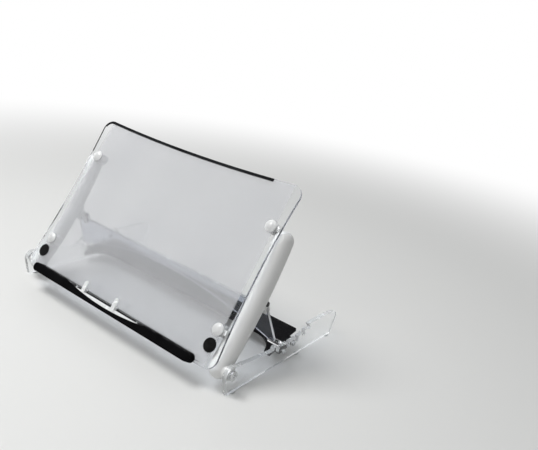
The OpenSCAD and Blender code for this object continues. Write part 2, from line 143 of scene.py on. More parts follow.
# %% Mix the floor's tone with white
tone = tree.nodes["Principled BSDF"]
tone.inputs["Base Color"].default_value = (0.72, 0.72, 0.705, 1)
tone.inputs["Roughness"].default_value = 0.6
share = tree.nodes.new("ShaderNodeMath")
share.operation = "MULTIPLY"
tree.links.new(fade.outputs[0], share.inputs[0])
tree.links.new(seen_rays(tree), share.inputs[1])
white = tree.nodes.new("ShaderNodeEmission")
both = tree.nodes.new("ShaderNodeMixShader")
tree.links.new(share.outputs[0], both.inputs[0])
tree.links.new(tone.outputs[0], both.inputs[1])
tree.links.new(white.outputs[0], both.inputs[2])
tree.links.new(both.outputs[0], tree.nodes["Material Output"].inputs["Surface"])
floor.data.materials.append(pale)
print("finish", pale.name)

# %% [markdown]
# ## The light
# A dim, even sky fills the shadows, and the eye sees plain white instead of it. One wide soft lamp at the
# upper left shapes the tubes of the rails, and a weak one beside the camera opens their dark sides. Wide
# lamps give soft shadows. A single small lamp would be simpler, but it would draw hard ones.

# %% Light the room
SKY_STRENGTH = 0.36
world = bpy.data.worlds.new("studio")
bpy.context.scene.world = world
world.use_nodes = True
tree = world.node_tree
sky = tree.nodes["Background"]
sky.inputs["Color"].default_value = (0.96, 0.98, 1.0, 1)
sky.inputs["Strength"].default_value = SKY_STRENGTH
paper = tree.nodes.new("ShaderNodeBackground")
paper.inputs["Color"].default_value = (1, 1, 1, 1)
paper.inputs["Strength"].default_value = 1.0
pick = tree.nodes.new("ShaderNodeMixShader")
tree.links.new(seen_rays(tree), pick.inputs[0])
tree.links.new(sky.outputs[0], pick.inputs[1])
tree.links.new(paper.outputs[0], pick.inputs[2])
tree.links.new(pick.outputs[0], tree.nodes["World Output"].inputs["Surface"])
print("sky strength", SKY_STRENGTH)

# %% Hang the lamps
def soft_box(name, place, aim, size, watts):
    turn = (Vector(aim) - Vector(place)).to_track_quat("-Z", "Y").to_euler()
    bpy.ops.object.light_add(type="AREA", location=place, rotation=turn)
    lamp = bpy.context.active_object
    lamp.name = name
    lamp.data.shape = "DISK"
    lamp.data.size = size
    lamp.data.energy = watts
    print("lamp", name, watts, "W")


LAMP_AIM = (0, 0, 0.1)
soft_box("key_from_the_left", place=(-0.7, -0.6, 2.0), aim=LAMP_AIM, size=1.1, watts=34)
soft_box("fill_beside_camera", place=(0.5, -1.4, 1.0), aim=LAMP_AIM, size=1.2, watts=4)
bpy.context.scene.view_settings.view_transform = "Standard"

# %% [markdown]
# ## Shared effects
# Several finishes need the same small effects: a fine grain, the smears that hands leave, a little
# settled dust, and masks that follow the board. Each is one node group with named sockets. A group gives
# out numbers and colours only, and every shader stays in its own material.

# %% Helpers for groups and links
def new_group(name, inputs, outputs):
    group = bpy.data.node_groups.new(name, "ShaderNodeTree")
    for label, kind, value in inputs:
        socket = group.interface.new_socket(label, in_out="INPUT", socket_type=kind)
        socket.default_value = value
    for label, kind in outputs:
        group.interface.new_socket(label, in_out="OUTPUT", socket_type=kind)
    print("group", name)
    return group, group.nodes.new("NodeGroupInput"), group.nodes.new("NodeGroupOutput")


def feed(tree, value, socket):
    if isinstance(value, bpy.types.NodeSocket):
        tree.links.new(value, socket)
    else:
        socket.default_value = value


def object_place(tree):
    return tree.nodes.new("ShaderNodeTexCoord").outputs["Object"]


# %% Helpers for sums, ramps, noise and mixed colours
def maths(tree, operation, first, second=0.0):
    node = tree.nodes.new("ShaderNodeMath")
    node.operation = operation
    feed(tree, first, node.inputs[0])
    feed(tree, second, node.inputs[1])
    return node.outputs[0]


def ramp(tree, value, low, high, to_low=0.0, to_high=1.0):
    node = tree.nodes.new("ShaderNodeMapRange")
    node.interpolation_type = "SMOOTHSTEP"
    tree.links.new(value, node.inputs["Value"])
    node.inputs["From Min"].default_value = low
    node.inputs["From Max"].default_value = high
    node.inputs["To Min"].default_value = to_low
    node.inputs["To Max"].default_value = to_high
    return node.outputs[0]


def noise(tree, vector, scale, detail, warp=0.0):
    node = tree.nodes.new("ShaderNodeTexNoise")
    tree.links.new(vector, node.inputs["Vector"])
    feed(tree, scale, node.inputs["Scale"])
    node.inputs["Detail"].default_value = detail
    node.inputs["Distortion"].default_value = warp
    return node.outputs["Fac"]


def mix_colour(tree, factor, first, second):
    node = tree.nodes.new("ShaderNodeMix")
    node.data_type = "RGBA"
    feed(tree, factor, node.inputs[0])
    # The Mix node has sockets for every kind of data: 6 and 7 take colours, and 2 gives one.
    feed(tree, first, node.inputs[6])
    feed(tree, second, node.inputs[7])
    return node.outputs[2]


# %% [markdown]
# ### Fine grain
# Moulded plastic and frosted acrylic have a skin of tiny grains. One noise at the size of the grain
# gives the height for a bump, and a second, wider one makes the colour cloudy by a very small amount.

# %% Group: fine grain
FLOAT = "NodeSocketFloat"
COLOUR = "NodeSocketColor"
grain_inputs = [("Grains per metre", FLOAT, 1500.0), ("Clouds per metre", FLOAT, 25.0)]
grain_outputs = [("Height", FLOAT), ("Cloud", FLOAT)]
grain, given, result = new_group("fine_grain", grain_inputs, grain_outputs)
spot = object_place(grain)
grains = noise(grain, spot, given.outputs["Grains per metre"], detail=3.0)
clouds = noise(grain, spot, given.outputs["Clouds per metre"], detail=4.0)
grain.links.new(grains, result.inputs["Height"])
grain.links.new(ramp(grain, clouds, low=0.3, high=0.7), result.inputs["Cloud"])

# %% [markdown]
# ### Handling marks
# Fingers leave smears that are duller than the clean surface. A warped noise is cut to islands, so most
# of the piece stays clean, and a finer noise breaks the islands up. The group gives the roughness itself,
# between a clean and a marked value.

# %% Group: handling marks
FINER = 14.0
marks_inputs = [("Clean", FLOAT, 0.1), ("Marked", FLOAT, 0.25), ("Marks per metre", FLOAT, 18.0)]
marks, given, result = new_group("handling_marks", marks_inputs, [("Roughness", FLOAT)])
spot = object_place(marks)
per_metre = given.outputs["Marks per metre"]
islands = ramp(marks, noise(marks, spot, per_metre, detail=3.0, warp=0.8), low=0.52, high=0.72)
fine_per_metre = maths(marks, "MULTIPLY", per_metre, FINER)
fine = noise(marks, spot, fine_per_metre, detail=2.0)
broken = ramp(marks, fine, low=0.35, high=0.65, to_low=0.45)
dullness = marks.nodes.new("ShaderNodeMapRange")
marks.links.new(maths(marks, "MULTIPLY", islands, broken), dullness.inputs["Value"])
marks.links.new(given.outputs["Clean"], dullness.inputs["To Min"])
marks.links.new(given.outputs["Marked"], dullness.inputs["To Max"])
marks.links.new(dullness.outputs[0], result.inputs["Roughness"])

# %% [markdown]
# ### Settled dust
# Black plastic shows every speck. Small points of a fine noise are kept only where a wide noise is
# high, so the specks gather in patches. The group mixes them over the colour it is given.

# %% Group: settled dust
SPECKS_PER_METRE = 900.0
PATCHES_PER_METRE = 16.0
DUST_GREY = (0.4, 0.39, 0.37, 1)
dust_inputs = [("Colour", COLOUR, (0, 0, 0, 1)), ("Dust", COLOUR, DUST_GREY), ("Amount", FLOAT, 0.3)]
dust, given, result = new_group("settled_dust", dust_inputs, [("Colour", COLOUR)])
spot = object_place(dust)
specks = ramp(dust, noise(dust, spot, SPECKS_PER_METRE, detail=1.0), low=0.63, high=0.72)
patches = ramp(dust, noise(dust, spot, PATCHES_PER_METRE, detail=3.0), low=0.4, high=0.7)
gathered = maths(dust, "MULTIPLY", specks, patches)
mask = maths(dust, "MULTIPLY", gathered, given.outputs["Amount"])
dusty = mix_colour(dust, mask, given.outputs["Colour"], given.outputs["Dust"])
dust.links.new(dusty, result.inputs["Colour"])

# %% [markdown]
# ### The board's own axes
# Wear and parting lines follow the board, which leans at 57 degrees. This group turns the object's own
# place into the distance across the board, up its slope and out of its front, so that a mask can be
# written in them. A painted mask could do the same, but it would need an unwrapped mesh and a picture
# file, while this one needs only numbers.

# %% Group: along the slope
TILT = math.radians(57)
LIFT = 30 * MM
slope, given, result = new_group("along_the_slope", [], [("Across", FLOAT), ("Up", FLOAT), ("Out", FLOAT)])
shifted = slope.nodes.new("ShaderNodeVectorMath")
shifted.operation = "SUBTRACT"
slope.links.new(object_place(slope), shifted.inputs[0])
shifted.inputs[1].default_value = (0, SHIFT_Y, LIFT)
turned = slope.nodes.new("ShaderNodeVectorRotate")
turned.rotation_type = "X_AXIS"
turned.inputs["Angle"].default_value = -TILT
slope.links.new(shifted.outputs[0], turned.inputs["Vector"])
split = slope.nodes.new("ShaderNodeSeparateXYZ")
slope.links.new(turned.outputs[0], split.inputs[0])
for axis in range(3):
    slope.links.new(split.outputs[axis], result.inputs[axis])

# %% [markdown]
# ## The finishes
# Each finish is a Principled shader. Its constant values sit on its own sockets, and only what changes over
# the surface comes from a group. The first helpers start a finish and place a group in it.

# %% Helpers that start a finish
def new_finish(name, **values):
    finish = bpy.data.materials.new(name)
    finish.use_nodes = True
    shader = finish.node_tree.nodes["Principled BSDF"]
    for label, value in values.items():
        shader.inputs[label.replace("_", " ")].default_value = value
    print("finish", name)
    return finish, finish.node_tree, shader


def use_group(tree, group, **values):
    node = tree.nodes.new("ShaderNodeGroup")
    node.node_tree = group
    for label, value in values.items():
        feed(tree, value, node.inputs[label.replace("_", " ")])
    return node.outputs


# %% [markdown]
# Every finish then needs the same three things: a slightly cloudy colour, smears in its gloss and a fine
# bump. Clear plastic needs one more. Rendered glass throws a full shadow, so for rays that run to a lamp it
# is swapped for a plain tint, which lets the lamp shine through.

# %% Helpers for colour, gloss, bump and shadow
def cloudy(tree, dark, light, grains, clouds):
    skin = use_group(tree, grain, Grains_per_metre=grains, Clouds_per_metre=clouds)
    return mix_colour(tree, skin["Cloud"], dark, light), skin["Height"]


def smeared(tree, shader, clean, marked, per_metre):
    smears = use_group(tree, marks, Clean=clean, Marked=marked, Marks_per_metre=per_metre)
    tree.links.new(smears["Roughness"], shader.inputs["Roughness"])


def bump(tree, shader, height, depth, strength):
    node = tree.nodes.new("ShaderNodeBump")
    node.inputs["Strength"].default_value = strength
    node.inputs["Distance"].default_value = depth
    tree.links.new(height, node.inputs["Height"])
    tree.links.new(node.outputs[0], shader.inputs["Normal"])


def let_lamps_through(tree, shader, tint):
    path = tree.nodes.new("ShaderNodeLightPath")
    clear = tree.nodes.new("ShaderNodeBsdfTransparent")
    clear.inputs["Color"].default_value = tint
    choose = tree.nodes.new("ShaderNodeMixShader")
    tree.links.new(path.outputs["Is Shadow Ray"], choose.inputs[0])
    tree.links.new(shader.outputs[0], choose.inputs[1])
    tree.links.new(clear.outputs[0], choose.inputs[2])
    tree.links.new(choose.outputs[0], tree.nodes["Material Output"].inputs["Surface"])


# %% [markdown]
# ### The frosted field
# The field of the writing sheet is lightly frosted: the flap and the plate behind it show as soft grey
# shapes. A high roughness would blur them away. So most of the light passes with little blur, and the
# rest is scattered back by the pale colour, which lies over the shapes like a veil.

# %% Finish: frosted sheet
ACRYLIC_IOR = 1.49
frosted, tree, shader = new_finish("frosted_sheet", IOR=ACRYLIC_IOR, Transmission_Weight=0.72)
colour, height = cloudy(tree, (0.69, 0.695, 0.71, 1), (0.725, 0.73, 0.74, 1), grains=4500.0, clouds=9.0)
tree.links.new(colour, shader.inputs["Base Color"])
smeared(tree, shader, clean=0.10, marked=0.16, per_metre=9.0)
bump(tree, shader, height, depth=0.008 * MM, strength=0.05)
let_lamps_through(tree, shader, (0.52, 0.54, 0.57, 1))

# %% [markdown]
# ### Clear and smoky acrylic
# The fins and feet are polished clear plastic. The flap is tinted smoky, and the tint is partly a painted
# shade: it darkens what shows through the sheet below the hinge, as the shade under the board does. In a
# white room, gloss lies like fog over what is behind it. So where something dark must show through, as it
# does in the flap, the sheet's clear margins and the page bar, the specular tint turns the glare down.

# %% Finishes: polished acrylic
def polished(name, dark, light, lamp_tint, shine):
    glare = (shine, shine, shine, 1)
    finish, tree, shader = new_finish(name, IOR=ACRYLIC_IOR, Transmission_Weight=1.0, Specular_Tint=glare)
    colour, height = cloudy(tree, dark, light, grains=120.0, clouds=14.0)
    tree.links.new(colour, shader.inputs["Base Color"])
    smeared(tree, shader, clean=0.02, marked=0.12, per_metre=26.0)
    bump(tree, shader, height, depth=0.06 * MM, strength=0.2)
    let_lamps_through(tree, shader, lamp_tint)
    return finish


FULL_SHINE = 1.0
LOW_SHINE = 0.1
CLEAR = dict(dark=(0.94, 0.955, 0.965, 1), light=(0.97, 0.975, 0.98, 1), lamp_tint=(0.82, 0.835, 0.85, 1))
# The smoky tint is partly a painted shade: it darkens the flap, and what shows through it, like the shade
# under the board.
SMOKY_SHADE_TINT = dict(dark=(0.50, 0.53, 0.61, 1), light=(0.55, 0.58, 0.66, 1), lamp_tint=(0.66, 0.68, 0.73, 1))
clear = polished("clear_acrylic", shine=FULL_SHINE, **CLEAR)
smoke_and_shade = polished("smoky_acrylic_painted_shade", shine=LOW_SHINE, **SMOKY_SHADE_TINT)
low_glare = polished("low_glare_acrylic", shine=LOW_SHINE, **CLEAR)

# %% [markdown]
# ### Cut edges and satin clips
# A saw leaves the cut edge of clear sheet dull: part of the light still passes, and the rest is scattered,
# so the edge reads as a pale line. The page fingers and the lower part of their bar look whiter still.
# They are the same finish, with a smaller share of light passing.

# %% Finishes: cut edge and satin clip
def dulled(name, passing, dark, light, lamp_tint):
    finish, tree, shader = new_finish(name, IOR=ACRYLIC_IOR, Transmission_Weight=passing)
    colour, height = cloudy(tree, dark, light, grains=600.0, clouds=40.0)
    tree.links.new(colour, shader.inputs["Base Color"])
    smeared(tree, shader, clean=0.25, marked=0.42, per_metre=60.0)
    bump(tree, shader, height, depth=0.08 * MM, strength=0.4)
    let_lamps_through(tree, shader, lamp_tint)
    return finish


cut_edge = dulled(
    "cut_edge", passing=0.6,
    dark=(0.80, 0.815, 0.82, 1), light=(0.87, 0.88, 0.88, 1), lamp_tint=(0.80, 0.81, 0.82, 1))
satin = dulled(
    "satin_clip", passing=0.35,
    dark=(0.84, 0.85, 0.85, 1), light=(0.89, 0.895, 0.895, 1), lamp_tint=(0.5, 0.5, 0.5, 1))

# %% [markdown]
# ### The dark rim
# Seen edge on, the long top rim of the sheet looks black. It may be an edge strip, or the thick plastic
# itself, which only passes light that has run through its whole height. A dark finish with little gloss and
# fine saw lines is given to the top rim and to a narrow ring along the top of the front, so no strip had to
# be added.

# %% Finish: dark rim
SAW_SCALE = 260.0
rim, tree, shader = new_finish("dark_rim", Specular_IOR_Level=0.08)
colour = cloudy(tree, (0.004, 0.004, 0.005, 1), (0.010, 0.011, 0.012, 1), grains=900.0, clouds=30.0)[0]
tree.links.new(colour, shader.inputs["Base Color"])
smeared(tree, shader, clean=0.14, marked=0.3, per_metre=30.0)
saw_lines = tree.nodes.new("ShaderNodeTexWave")
saw_lines.inputs["Scale"].default_value = SAW_SCALE
saw_lines.inputs["Distortion"].default_value = 3.0
tree.links.new(object_place(tree), saw_lines.inputs["Vector"])
bump(tree, shader, saw_lines.outputs["Fac"], depth=0.05 * MM, strength=0.3)

# %% [markdown]
# ### White rails and milky caps
# The rails are satin white mouldings. Real ones show a hair-fine parting line where the two halves of the
# mould met, which here is a small ridge in the bump at the middle of the tube. The caps are softer: light
# goes a little way under their skin and comes out again, which Blender calls subsurface scattering.

# %% Finish: pearl plastic
RAIL_MID = 222 * MM
PARTING_RIDGE = 0.10 * MM
PARTING_FOOT = 0.35 * MM
GRAIN_SHARE = 0.25
gloss_values = dict(Coat_Weight=0.12, Coat_Roughness=0.3, Specular_IOR_Level=0.45)
pearl, tree, shader = new_finish("pearl_plastic", **gloss_values)
colour, height = cloudy(
    tree, (0.575, 0.575, 0.565, 1), (0.615, 0.615, 0.605, 1), grains=1100.0, clouds=12.0)
tree.links.new(colour, shader.inputs["Base Color"])
smeared(tree, shader, clean=0.34, marked=0.48, per_metre=20.0)
across = maths(tree, "ABSOLUTE", use_group(tree, slope)["Across"])
off_middle = maths(tree, "ABSOLUTE", maths(tree, "SUBTRACT", across, RAIL_MID))
parting = ramp(tree, off_middle, PARTING_RIDGE, PARTING_FOOT, to_low=1.0, to_high=0.0)
relief = maths(tree, "ADD", maths(tree, "MULTIPLY", height, GRAIN_SHARE), parting)
bump(tree, shader, relief, depth=0.12 * MM, strength=0.5)

# %% Finish: milky caps
under_skin = dict(Subsurface_Weight=0.6, Subsurface_Scale=6 * MM, Subsurface_Radius=(1.0, 1.0, 1.0))
milky, tree, shader = new_finish("milky_cap", Coat_Weight=0.1, Coat_Roughness=0.2, **under_skin)
colour, height = cloudy(tree, (0.75, 0.755, 0.75, 1), (0.79, 0.795, 0.79, 1), grains=700.0, clouds=60.0)
tree.links.new(colour, shader.inputs["Base Color"])
smeared(tree, shader, clean=0.22, marked=0.36, per_metre=40.0)
bump(tree, shader, height, depth=0.03 * MM, strength=0.3)

# %% [markdown]
# ### Three blacks
# The ledge is matt with a fine grain and is rubbed paler along its top front edge, where papers slide on.
# The cross plate is polished and shows dust and fingerprints. The two round badges stay plain discs.

# %% Mask: the rubbed edge of the ledge
LEDGE_HEIGHT = 15 * MM
LEDGE_DEPTH = 14 * MM
RUBBED_FULLY = 0.4 * MM
RUBBED_UP_TO = 2.2 * MM
matt, tree, shader = new_finish("matt_black_ledge", Specular_IOR_Level=0.02)
axes = use_group(tree, slope)
from_top = maths(tree, "ABSOLUTE", maths(tree, "SUBTRACT", axes["Up"], LEDGE_HEIGHT))
from_front = maths(tree, "ABSOLUTE", maths(tree, "SUBTRACT", axes["Out"], LEDGE_DEPTH))
from_edge = maths(tree, "ADD", from_top, from_front)
near_edge = ramp(tree, from_edge, RUBBED_FULLY, RUBBED_UP_TO, to_low=1.0, to_high=0.0)
patchy = noise(tree, object_place(tree), scale=60.0, detail=4.0)
uneven = ramp(tree, patchy, low=0.4, high=0.68)
rubbed = maths(tree, "MULTIPLY", near_edge, uneven)

# %% Finish: matt black ledge
plain, height = cloudy(
    tree, (0.0015, 0.0015, 0.0018, 1), (0.003, 0.003, 0.0034, 1), grains=1600.0, clouds=30.0)
worn = mix_colour(tree, rubbed, plain, (0.045, 0.045, 0.047, 1))
tree.links.new(use_group(tree, dust, Colour=worn, Amount=0.05)["Colour"], shader.inputs["Base Color"])
smeared(tree, shader, clean=0.62, marked=0.46, per_metre=22.0)
bump(tree, shader, height, depth=0.12 * MM, strength=0.5)
print(matt.name, "is rubbed within", RUBBED_UP_TO / MM, "mm of its edge")

# %% Finish: polished black plate
gloss, tree, shader = new_finish("polished_black_plate", Specular_IOR_Level=0.03)
plain, height = cloudy(tree, (0.004, 0.004, 0.005, 1), (0.008, 0.008, 0.009, 1), grains=90.0, clouds=20.0)
tree.links.new(use_group(tree, dust, Colour=plain, Amount=0.25)["Colour"], shader.inputs["Base Color"])
smeared(tree, shader, clean=0.16, marked=0.34, per_metre=24.0)
bump(tree, shader, height, depth=0.05 * MM, strength=0.15)

# %% Finish: plain badge
disc, tree, shader = new_finish("plain_badge", Specular_IOR_Level=0.03)
plain, height = cloudy(
    tree, (0.006, 0.006, 0.006, 1), (0.011, 0.011, 0.011, 1), grains=2200.0, clouds=120.0)
tree.links.new(use_group(tree, dust, Colour=plain, Amount=0.06)["Colour"], shader.inputs["Base Color"])
smeared(tree, shader, clean=0.38, marked=0.52, per_metre=60.0)
bump(tree, shader, height, depth=0.03 * MM, strength=0.4)

# %% [markdown]
# ### Metals and rubber
# Screws and tilt pins are plain steel, the hinge pins are blackened and the bushes are brass. All of them
# are small, so a fine grain and a few smears are enough. The pads are a soft, greyish rubber.

# %% Finishes: metals
def metal(name, dark, light, clean, marked, grains):
    finish, tree, shader = new_finish(name, Metallic=1.0)
    colour, height = cloudy(tree, dark, light, grains, clouds=90.0)
    tree.links.new(colour, shader.inputs["Base Color"])
    smeared(tree, shader, clean, marked, per_metre=80.0)
    bump(tree, shader, height, depth=0.04 * MM, strength=0.35)
    return finish


steel = metal(
    "plain_steel", (0.50, 0.51, 0.52, 1), (0.62, 0.63, 0.64, 1), clean=0.26, marked=0.42, grains=1800.0)
brass = metal(
    "turned_brass", (0.58, 0.42, 0.19, 1), (0.70, 0.53, 0.26, 1), clean=0.24, marked=0.4, grains=1800.0)
dark_pin = metal(
    "blackened_pin", (0.020, 0.020, 0.021, 1), (0.045, 0.045, 0.047, 1),
    clean=0.36, marked=0.55, grains=1500.0)

# %% Finish: pad rubber
rubber, tree, shader = new_finish("pad_rubber", Specular_IOR_Level=0.3)
plain, height = cloudy(tree, (0.42, 0.43, 0.43, 1), (0.52, 0.53, 0.53, 1), grains=1300.0, clouds=100.0)
tree.links.new(use_group(tree, dust, Colour=plain, Amount=0.35)["Colour"], shader.inputs["Base Color"])
smeared(tree, shader, clean=0.6, marked=0.75, per_metre=60.0)
bump(tree, shader, height, depth=0.1 * MM, strength=0.5)

# %% [markdown]
# ## From solid to piece
# A solid arrives as loose triangles with knife-sharp edges. Real acrylic and plastic have edges that catch
# the light. So each solid is copied, and the copy's triangles are merged back into whole faces. It could
# be modelled again from a primitive, but the copy already has the exact shape.

# %% Helpers to pick and copy one solid
SAME_POINT = 0.002 * MM
FLAT_ANGLE = math.radians(0.4)


def alone(piece):
    bpy.ops.object.select_all(action="DESELECT")
    piece.select_set(True)
    bpy.context.view_layer.objects.active = piece


def whole_copy(node, name):
    alone(solids[node])
    bpy.ops.object.duplicate()
    piece = bpy.context.active_object
    piece.name = piece.data.name = name
    piece.parent = None
    # The copy must not pass for the solid itself, so the solid's marks come off.
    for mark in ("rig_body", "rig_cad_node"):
        del piece[mark]
    if piece.data.has_custom_normals:
        bpy.ops.mesh.customdata_custom_splitnormals_clear()
    bpy.ops.object.mode_set(mode="EDIT")
    bpy.ops.mesh.select_all(action="SELECT")
    bpy.ops.mesh.remove_doubles(threshold=SAME_POINT)
    bpy.ops.mesh.dissolve_limited(angle_limit=FLAT_ANGLE)
    bpy.ops.object.mode_set(mode="OBJECT")
    return piece


# %% [markdown]
# A bevel then rounds the edges by less than a millimetre. Where edges meet at odd angles it leaves slivers,
# faces too thin to see, so these are merged away and the mesh stays closed. Weighted normals keep the large
# faces flat, while the narrow bevels shade round.

# %% A helper to soften edges
SLIVER = 0.01 * MM
SMOOTH_ANGLE = math.radians(50)


def soften(piece, width, steps=2, angle=30.0):
    alone(piece)
    edge = piece.modifiers.new("soft_edges", "BEVEL")
    edge.limit_method = "ANGLE"
    edge.angle_limit = math.radians(angle)
    edge.width = width
    edge.segments = steps
    bpy.ops.object.modifier_apply(modifier="soft_edges")
    bpy.ops.object.mode_set(mode="EDIT")
    bpy.ops.mesh.select_all(action="SELECT")
    bpy.ops.mesh.remove_doubles(threshold=SLIVER)
    bpy.ops.mesh.dissolve_degenerate(threshold=SLIVER)
    bpy.ops.object.mode_set(mode="OBJECT")
    bpy.ops.object.shade_smooth_by_angle(angle=SMOOTH_ANGLE)
    flat = piece.modifiers.new("flat_faces", "WEIGHTED_NORMAL")
    flat.mode = "FACE_AREA"
    flat.weight = 100
    flat.keep_sharp = True
    bpy.ops.object.modifier_apply(modifier="flat_faces")


# %% [markdown]
# At last the copy gets its finishes and takes the solid's place: it rides on the same body, so it moves
# with the same joint, and the solid is not shown any more.

# %% A helper to hand a finished piece over
def hand_over(piece, node, slot, *finishes):
    body = next(b for b, names in frame["record"]["behaviour"]["bodies"].items() if node in names)
    piece.data.materials.clear()
    for finish in finishes:
        piece.data.materials.append(finish)
    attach(piece, body)
    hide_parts(node)
    print(piece.name, "rides on", body, "with", len(piece.data.polygons), "faces")


# %% [markdown]
# ## The writing sheet
# The sheet is a flat blank with drawn-in top and side edges. Where clear plastic touches a rail or the
# ledge, two faces would share one plane and flicker in the render. So every face is first drawn in by a
# tenth of a millimetre, which no eye can see. The photograph shows a dark band along the top, so the front
# is inset, which leaves a narrow ring of faces along its edge. It also shows the black plate clearly beside
# the right rail, so the sides are taken as clear margins, and two flat cuts part them from the frosted
# field. Masks in the finish could do both, but real edges stay sharp at any size.

# %% A helper that draws every face in
def draw_in(piece, amount):
    alone(piece)
    bpy.ops.object.mode_set(mode="EDIT")
    bpy.ops.mesh.select_all(action="SELECT")
    bpy.ops.transform.shrink_fatten(value=-amount, use_even_offset=True)
    bpy.ops.object.mode_set(mode="OBJECT")


# %% Inset the front of the sheet
CLEARANCE = 0.1 * MM
BAND = 5.2 * MM
FACING_FRONT = 0.99
OUTWARD = Vector((0, -math.sin(TILT), math.cos(TILT)))
sheet = whole_copy("clear_sheet", "writing_sheet")
draw_in(sheet, CLEARANCE)
bpy.ops.object.mode_set(mode="EDIT")
bpy.ops.mesh.select_mode(type="FACE")
bpy.ops.mesh.select_all(action="DESELECT")
bpy.ops.object.mode_set(mode="OBJECT")
for face in sheet.data.polygons:
    face.select = face.normal.dot(OUTWARD) > FACING_FRONT
bpy.ops.object.mode_set(mode="EDIT")
bpy.ops.mesh.inset(thickness=BAND, use_boundary=True, use_even_offset=True)
bpy.ops.mesh.select_mode(type="VERT")
bpy.ops.object.mode_set(mode="OBJECT")
print("sheet inset:", len(sheet.data.polygons), "faces")

# %% Cut the margins and hand the sheet over
FROST_END = 208.5 * MM
bpy.ops.object.mode_set(mode="EDIT")
for side in (-1, 1):
    bpy.ops.mesh.select_all(action="SELECT")
    bpy.ops.mesh.bisect(plane_co=(side * FROST_END, 0, 0), plane_no=(1, 0, 0))
bpy.ops.object.mode_set(mode="OBJECT")
soften(sheet, width=0.45 * MM)
hand_over(sheet, "clear_sheet", "clear_acrylic", frosted, rim, smoke_and_shade, low_glare)

# %% [markdown]
# Each face now picks its finish by its place. The top ring and the top rim turn dark, up to a point short
# of the right corner, and on the left the dark rim runs a little way down the side. The other rims get the
# smoky finish, which draws the thin grey line of the edge. The walls of the screw holes keep the finish of
# the field or the margin around them.

# %% Give each face of the sheet its finish
FROSTED_FACE, DARK_FACE, SMOKY_FACE, CLEAR_FACE = range(4)
UPHILL = Vector((0, math.cos(TILT), math.sin(TILT)))
START = Vector((0, SHIFT_Y, LIFT))
BAND_END = 172 * MM
HOLES_WITHIN = 215 * MM
HOLES_BELOW = 280 * MM
RING_ABOVE = 289 * MM
RING_AREA = 4e-4
LEFT_DARK_ABOVE = 232 * MM
RIGHT_DARK_ABOVE = 255 * MM
EDGE_ON = 0.8
dark_count = 0
for face in sheet.data.polygons:
    up = (face.center - START).dot(UPHILL)
    across = face.center.x
    facing = face.normal.dot(OUTWARD)
    in_hole = abs(across) < HOLES_WITHIN and up < HOLES_BELOW
    on_ring = facing > EDGE_ON and face.area < RING_AREA and up > RING_ABOVE
    on_rim = abs(facing) < EDGE_ON
    dark_rim = on_rim and up > (LEFT_DARK_ABOVE if across < 0 else RIGHT_DARK_ABOVE)
    if not in_hole and across < BAND_END and (on_ring or dark_rim):
        face.material_index = DARK_FACE
    elif not in_hole and on_rim:
        face.material_index = SMOKY_FACE
    elif abs(across) > FROST_END:
        face.material_index = CLEAR_FACE
    else:
        face.material_index = FROSTED_FACE
    dark_count += face.material_index == DARK_FACE
print("dark faces on the sheet:", dark_count)

# %% [markdown]
# ## The white rails
# Each rail is a bent tube with rounded ends, which meets the sheet at both. It could be drawn again as a
# curve with a round section, but its shape is right in the solid. So the copy only gets its soft edges and
# smooth shading, which turns the flat strips of the tube round.

# %% Make the rails
for side in ("left", "right"):
    rail = whole_copy("rail_" + side, "white_rail_" + side)
    soften(rail, width=0.5 * MM, angle=34.0)
    hand_over(rail, "rail_" + side, "pearl_plastic", pearl)

# %% [markdown]
# ## Caps and badges
# Domed caps hide the clamp screws, and two plain discs sit below them. The domes could be cut from spheres,
# but the solids are turned shapes already. Smooth shading is enough, with a small bevel round each foot.

# %% Make caps and badges
caps = whole_copy("clamp_caps", "screw_caps")
soften(caps, width=0.3 * MM, angle=40.0)
hand_over(caps, "clamp_caps", "cap_plastic", milky)
badges = whole_copy("blank_badges", "round_badges")
soften(badges, width=0.25 * MM, angle=40.0)
hand_over(badges, "blank_badges", "badge_black", disc)

# %% [markdown]
# ## The ledge
# The ledge is a long black bar with round ends and a shallow pocket. A moulded bar has softer edges than
# cut acrylic, so its bevel is twice as wide as the sheet's and has one step more.

# %% Make the ledge
ledge = whole_copy("book_ledge", "black_ledge")
soften(ledge, width=0.9 * MM, steps=3)
hand_over(ledge, "book_ledge", "ledge_black", matt)

# %% [markdown]
# ## The page bar and its fingers
# A lens-shaped bar closes the pocket, and two fingers slide on it to hold papers back. In the photograph
# the bar is white along the curve of the pocket and dark above that, where the black pocket shows through.
# Two pieces could show this, but the bar is one solid. So one flat cut parts its faces, and the lower ones
# take the satin finish, as the fingers do.

# %% Make the bar
TRIM_GAP = 0.05 * MM
TRIM_EDGE = 0.35 * MM
SATIN_BELOW = 11.6 * MM
SATIN_FACE = 1
bar = whole_copy("page_bar", "clear_page_bar")
draw_in(bar, TRIM_GAP)
bpy.ops.object.mode_set(mode="EDIT")
bpy.ops.mesh.select_all(action="SELECT")
bpy.ops.mesh.bisect(plane_co=START + UPHILL * SATIN_BELOW, plane_no=UPHILL)
bpy.ops.object.mode_set(mode="OBJECT")
soften(bar, TRIM_EDGE)
hand_over(bar, "page_bar", "clear_trim", low_glare, satin)
for face in bar.data.polygons:
    if (face.center - START).dot(UPHILL) < SATIN_BELOW:
        face.material_index = SATIN_FACE

# %% Make the fingers
for side in ("left", "right"):
    finger = whole_copy("page_finger_" + side, "clear_finger_" + side)
    draw_in(finger, TRIM_GAP)
    soften(finger, TRIM_EDGE)
    hand_over(finger, "page_finger_" + side, "clear_trim", satin)

# %% [markdown]
# ## The support flap and its feet
# The flap is a sheet with an arch cut in its lower edge, and its smoky tint is partly a painted shade for
# the shade under the board. Round clear feet at its corners stand over the notches of the fins. The flap is
# drawn in a little, as the writing sheet was, because it meets other pieces. Its flat cut edges are dull,
# and the bevels beside them stay polished. The helper tells them apart by how far a face looks along the
# thickness of the sheet.

